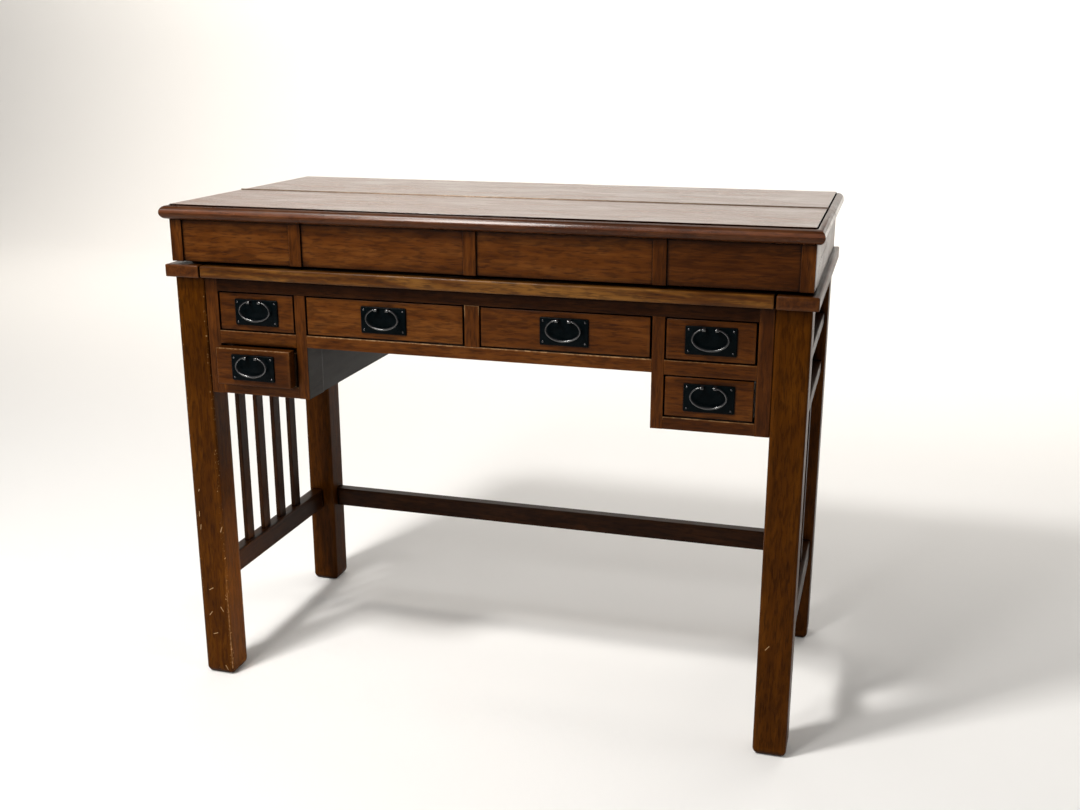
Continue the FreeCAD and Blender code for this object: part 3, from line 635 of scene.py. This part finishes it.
# Top: two veneered halves that meet at the hinge. A sunk quirk parts the flat from the edge, which is
# a full bull nose; the finish is a satin lacquer that takes a long sheen.
# The quirk is painted near black as shade; the glossy shoulder band of the nose is coloured lighter as a
# painted highlight, and the rest of the nose darker as painted shade.
top_wood = stained_wood("top_wood", "X", top_tones, 0.24, specular=0.45, nicks=0.02, plane="top", bump=0.07,
                        glaze_and_shade_reach=0.004)
painted_shade_nose_tones = (0.032, 0.0078, 0.0011), (0.055, 0.0145, 0.0025), (0.085, 0.027, 0.0060)
painted_highlight_shoulder_tones = (0.058, 0.0130, 0.0022), (0.095, 0.0245, 0.0052), (0.135, 0.041, 0.0105)
painted_shade_quirk_tones = (0.003, 0.0010, 0.0004), (0.005, 0.0016, 0.0006), (0.008, 0.0028, 0.0010)
nose_wood = stained_wood("nose_wood", "X", painted_shade_nose_tones, 0.27, specular=0.16, chips=0.25, bump=0.08)
painted_highlight_shoulder_wood = stained_wood("nose_shoulder_wood", "X", painted_highlight_shoulder_tones, 0.18, specular=1.0, chips=0.25,
                             bump=0.04)
quirk_wood = stained_wood("quirk_wood", "X", painted_shade_quirk_tones, 0.7, specular=0.0, chips=0.0)
flat_slot, nose_slot, shoulder_slot, quirk_slot = range(4)
top_tone, shoulder_rise = 0.6, (0.08, 0.5)


def moulded_half(name, cad, y_from, y_to, cuts):
    """Half of the top: a slab with a rounded edge and a quirk all round, then cut off at the seam."""
    low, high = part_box(cad)
    nose_drop, nose_deep, nose_steps, nose_flat = 2.2 * mm, 10.9 * mm, 9, 0.9 * mm
    quirk_half, quirk_deep, ease, flat_margin = 1.1 * mm, 3.4 * mm, 0.5 * mm, 6 * mm
    nose_top = high.z - nose_drop
    below_quirk = nose_top - 3 * mm
    quirk_from = nose_deep + nose_flat
    quirk_to = quirk_from + 2 * quirk_half
    half = start_board(name, (low.x, y_from, low.z), (high.x, y_to, nose_top))
    bevel_edges(half, lambda a, b: abs(a.z - b.z) < 1e-6, nose_deep, nose_steps)
    pick_faces(half, lambda face: face.normal.z > 0.999 and face.center.z > nose_top - 1e-5)
    bpy.ops.mesh.inset(thickness=nose_flat, depth=0)
    bpy.ops.mesh.inset(thickness=quirk_half, depth=nose_drop - quirk_deep)
    bpy.ops.mesh.inset(thickness=quirk_half, depth=quirk_deep - ease)
    bpy.ops.mesh.inset(thickness=ease, depth=ease)
    bpy.ops.mesh.inset(thickness=flat_margin, depth=0)
    for plane_y, outward in cuts:
        bpy.ops.mesh.select_all(action="SELECT")
        bpy.ops.mesh.bisect(plane_co=(0, plane_y, 0), plane_no=(0, outward, 0), use_fill=True,
                            clear_outer=True)
    bpy.ops.object.mode_set(mode="OBJECT")

    def inset_of(place):
        return min(high.x - abs(place.x), place.y - y_from)

    def at_nose(i, place):
        return float(inset_of(place) < nose_deep)

    # The quirk's sunk walls are marked for painted shade as well.
    def painted_quirk_shade_at(i, place):
        sunk = below_quirk < place.z < high.z - 0.2 * mm
        return float(sunk and inset_of(place) > quirk_from + 0.5 * quirk_half)

    write_marks(half, top_tone, edge=at_nose, deep=painted_quirk_shade_at)
    for wood in (top_wood, nose_wood, painted_highlight_shoulder_wood, quirk_wood):
        half.data.materials.append(wood)
    # Faces sort into the flat, the quirk's near-black painted shade, the nose's lighter painted highlight
    # band and its darker painted shade.
    for face in half.data.polygons:
        inset = inset_of(face.center)
        if quirk_from < inset < quirk_to and face.center.z > below_quirk:
            face.material_index = quirk_slot
        elif inset < quirk_to and face.center.z < nose_top + 0.05 * mm:
            at_shoulder = shoulder_rise[0] < face.normal.z < shoulder_rise[1]
            face.material_index = shoulder_slot if at_shoulder else nose_slot
        else:
            face.material_index = flat_slot
    return half


spare = 60 * mm
low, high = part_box("lid_top")
lid_half = moulded_half("lid_half", "lid_top", low.y, high.y + spare, [(high.y, 1)])
settle(lid_half, None, "lid", "wood_top", "lid_top")
low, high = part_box("top_rear")
rear_half = moulded_half("rear_half", "top_rear", low.y - spare, high.y + spare, [(low.y, -1), (high.y, 1)])
settle(rear_half, None, "frame", "wood_top", "top_rear")


# Hinge: two long leaves of bronzed metal let into the seam of the top, their knuckles turning on one
# pin. They are the solids as they stand.
def dark_metal(name, colour, rubbed, rough, metallic, dent_scale, dents, specular=0.5, spread=0.08):
    """Metal that is rubbed in patches, with a finer change of gloss and shallow dents."""
    dent_deep = 0.8 * mm
    material, tree, shader = new_material(name)
    place = node(tree, "TexCoord", {}, {}).outputs["Object"]
    patches = stretch(tree, noise(tree, place, 90, 4), 0.42, 0.68)
    tree.links.new(blend(tree, patches, (*colour, 1), (*rubbed, 1)), shader.inputs["Base Color"])
    gloss = stretch(tree, noise(tree, place, 260, 3), 0.3, 0.7, rough - spread, rough + spread)
    tree.links.new(gloss, shader.inputs["Roughness"])
    relief = node(tree, "Bump", {}, {"Strength": dents, "Distance": dent_deep,
                                     "Height": noise(tree, place, dent_scale, 2)})
    tree.links.new(relief.outputs[0], shader.inputs["Normal"])
    shader.inputs["Metallic"].default_value = metallic
    shader.inputs["Specular IOR Level"].default_value = specular
    return material


hinge_bronze = dark_metal("hinge_bronze", (0.130, 0.096, 0.068), (0.190, 0.145, 0.108), 0.36, 1.0, 300, 0.15)
dress(hinge_bronze, "hinge_leaf_fixed", "hinge_leaf_lid", "hinge_pin")

# Pulls: a bevelled black plate held by four round nails, with two bored lugs cast on it; an oval bail
# of black bar, thicker at its belly and rubbed bright, swings in the lugs.
plate_wide, plate_thick, plate_high = 78 * mm, 2.5 * mm, 43.5 * mm
plate_corner, plate_bevel = 1.0 * mm, 1.3 * mm
nail_in, nail_radius, nail_high, nail_sunk = 5 * mm, 1.9 * mm, 1.2 * mm, 0.2 * mm
lug_apart, lug_thick, lug_radius, lug_out = 20 * mm, 5 * mm, 2.8 * mm, 6.5 * mm
lug_sunk, lug_ease = 0.3 * mm, 0.4 * mm
lug_up = plate_high / 2 - 3.5 * mm
pin_radius, bore_play = 1.3 * mm, 0.05 * mm
plate_black = dark_metal("plate_black", (0.0003, 0.0016, 0.0022), (0.0012, 0.0030, 0.0040), 0.34, 0.0, 170,
                         0.3, specular=0.04)
bail_black = dark_metal("bail_black", (0.005, 0.005, 0.006), (0.016, 0.016, 0.017), 0.20, 0.0, 60, 0.0,
                        specular=0.90, spread=0.02)
nail_steel = dark_metal("nail_steel", (0.055, 0.055, 0.058), (0.11, 0.11, 0.114), 0.22, 1.0, 300, 0.1)


def domed_nail(name, place):
    bpy.ops.object.select_all(action="DESELECT")
    bpy.ops.mesh.primitive_uv_sphere_add(segments=16, ring_count=10, radius=1, location=place)
    nail = bpy.context.object
    nail.name = name
    nail.scale = (nail_radius, nail_high, nail_radius)
    bpy.ops.object.transform_apply(location=True, rotation=True, scale=True)
    bpy.ops.object.mode_set(mode="EDIT")
    bpy.ops.mesh.select_all(action="SELECT")
    bpy.ops.mesh.bisect(plane_co=(place[0], place[1] + nail_sunk, place[2]), plane_no=(0, 1, 0),
                        use_fill=True, clear_outer=True)
    bpy.ops.object.mode_set(mode="OBJECT")
    bpy.ops.object.shade_smooth_by_angle(angle=math.radians(50))
    nail.data.materials.append(nail_steel)
    return nail


def cast_lug(name, x):
    nose_y, pin_y = -plate_thick - lug_out - lug_radius, -plate_thick - lug_out
    lug = start_board(name, (x - lug_thick / 2, nose_y, lug_up - lug_radius),
                      (x + lug_thick / 2, -plate_thick + lug_sunk, lug_up + lug_radius))
    bevel_edges(lug, lambda a, b: max(a.y, b.y) < nose_y + 1e-6 and abs(a.x - b.x) > 1 * mm,
                lug_radius - 0.01 * mm, 8)
    bevel_edges(lug, lambda a, b: abs(a.x - b.x) < 1e-6 and max(a.y, b.y) < -plate_thick, lug_ease, 2)
    bpy.ops.mesh.primitive_cylinder_add(vertices=32, radius=pin_radius + bore_play, depth=3 * lug_thick,
                                        location=(x, pin_y, lug_up), rotation=(0, math.pi / 2, 0))
    cut_away(lug, bpy.context.object, "bore")
    bpy.ops.object.shade_smooth_by_angle(angle=smooth_below)
    lug.data.materials.clear()
    lug.data.materials.append(bail_black)
    return lug


def model_plate():
    plate = start_board("pull_plate", (-plate_wide / 2, -plate_thick, -plate_high / 2),
                        (plate_wide / 2, 0, plate_high / 2))
    bevel_edges(plate, lambda a, b: abs(a.y - b.y) > 1 * mm, plate_corner, 3)
    bevel_edges(plate, lambda a, b: max(a.y, b.y) < -plate_thick + 1e-6, plate_bevel, 3)
    bpy.ops.object.shade_smooth_by_angle(angle=smooth_below)
    plate.data.materials.append(plate_black)
    parts = [plate]
    nail_x, nail_z = plate_wide / 2 - nail_in, plate_high / 2 - nail_in
    for x in (-nail_x, nail_x):
        for z in (-nail_z, nail_z):
            parts.append(domed_nail("nail", (x, -plate_thick, z)))
    parts += [cast_lug("lug", -lug_apart / 2), cast_lug("lug", lug_apart / 2)]
    return joined("pull_plate", parts)


def model_bail():
    """A bar that runs from one lug's bore round an oval to the other's, and swells to its belly."""
    half_wide, drop, end_radius, belly_radius = 27.5 * mm, 31.5 * mm, 1.4 * mm, 1.9 * mm
    lug_clear, elbow_out, steps = 0.4 * mm, 1.8 * mm, 14
    inside = (lug_apart - lug_thick) / 2 - lug_clear
    shoulder = (lug_apart + lug_thick) / 2 + lug_clear
    share = math.sqrt(1 - ((shoulder + elbow_out) / half_wide) ** 2)
    half_high = drop / (1 + share)
    start = math.asin(share)
    path = [(inside, 0, pin_radius), (shoulder - 0.2 * mm, 0, pin_radius)]
    for i in range(steps + 1):
        turn = start - i * (math.pi + 2 * start) / steps
        swell = ((1 - math.sin(turn)) / 2) ** 1.5
        path.append((half_wide * math.cos(turn), half_high * (math.sin(turn) - share),
                     end_radius + swell * (belly_radius - end_radius)))
    path += [(-x, z, radius) for x, z, radius in path[1::-1]]
    line = bpy.data.curves.new("bail_bar", "CURVE")
    line.dimensions = "3D"
    line.bevel_depth = 1.0
    line.bevel_resolution = 5
    line.resolution_u = 6
    line.use_fill_caps = True
    spline = line.splines.new("BEZIER")
    spline.bezier_points.add(len(path) - 1)
    for point, (x, z, radius) in zip(spline.bezier_points, path):
        point.co = (x, 0, z)
        point.radius = radius
        point.handle_left_type = point.handle_right_type = "AUTO"
    bar = bpy.data.objects.new("bail_bar", line)
    bpy.context.scene.collection.objects.link(bar)
    select_only(bar)
    bpy.ops.object.convert(target="MESH")
    bpy.ops.object.shade_smooth()
    return bpy.context.object


def copied(pattern, name, place):
    copy = bpy.data.objects.new(name, pattern.data.copy())
    bpy.context.scene.collection.objects.link(copy)
    copy.data.transform(Matrix.Translation(place))
    return copy


plate_pattern, bail_pattern = model_plate(), model_bail()

# Drawers: each has a solid front with eased edges, a thin box behind it, and one pull at its middle.
# The fronts are planed a little at the right, and the lower left one has not been pushed quite home.
drawer_wood = stained_wood("drawer_wood", "X", front_tones, 0.35, chips=0.24)
box_tones = (0.16, 0.085, 0.036), (0.27, 0.16, 0.075), (0.36, 0.23, 0.12)
box_wood = stained_wood("drawer_box_wood", "Y", box_tones, 0.55, specular=0.3)
drawer_tone = {"upper_left": 0.25, "centre_left": 1.35, "centre_right": 0.35, "upper_right": 0.1,
               "lower_left": -0.1, "lower_right": 0.35}
front_ease, shot_right, arris_in, arris_highlight = 1.2 * mm, 1.2 * mm, 1.3 * mm, 0.82
for drawer, tone in drawer_tone.items():
    body, cad, bail = "drawer_" + drawer, "drawer_" + drawer + "_front", "bail_" + drawer
    low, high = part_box(cad)
    planed = (high.x - shot_right, high.y, high.z)
    left_open = drawer == "lower_left"

    # The lower left drawer's top front arris is painted pale as a highlight.
    def highlight_on_top_arris(i, place):
        at_arris = place.z > high.z - arris_in and place.y < low.y + arris_in
        return arris_highlight * (left_open and at_arris)

    front = eased_board("front_" + drawer, low, planed, front_ease, tone=tone, bare=highlight_on_top_arris)
    settle(front, drawer_wood, body, "wood_front", cad)
    dress(box_wood, body + "_box")
    middle = Vector(((low.x + high.x) / 2, low.y, (low.z + high.z) / 2))
    plate = copied(plate_pattern, "plate_" + drawer, middle)
    settle(plate, None, body, "pull_metal", body + "_plate")
    pivot = middle + Vector((0, -plate_thick - lug_out, lug_up))
    bail_bar = copied(bail_pattern, "bail_bar_" + drawer, pivot)
    settle(bail_bar, bail_black, bail, "pull_metal", bail)
bpy.data.objects.remove(plate_pattern)
bpy.data.objects.remove(bail_pattern)
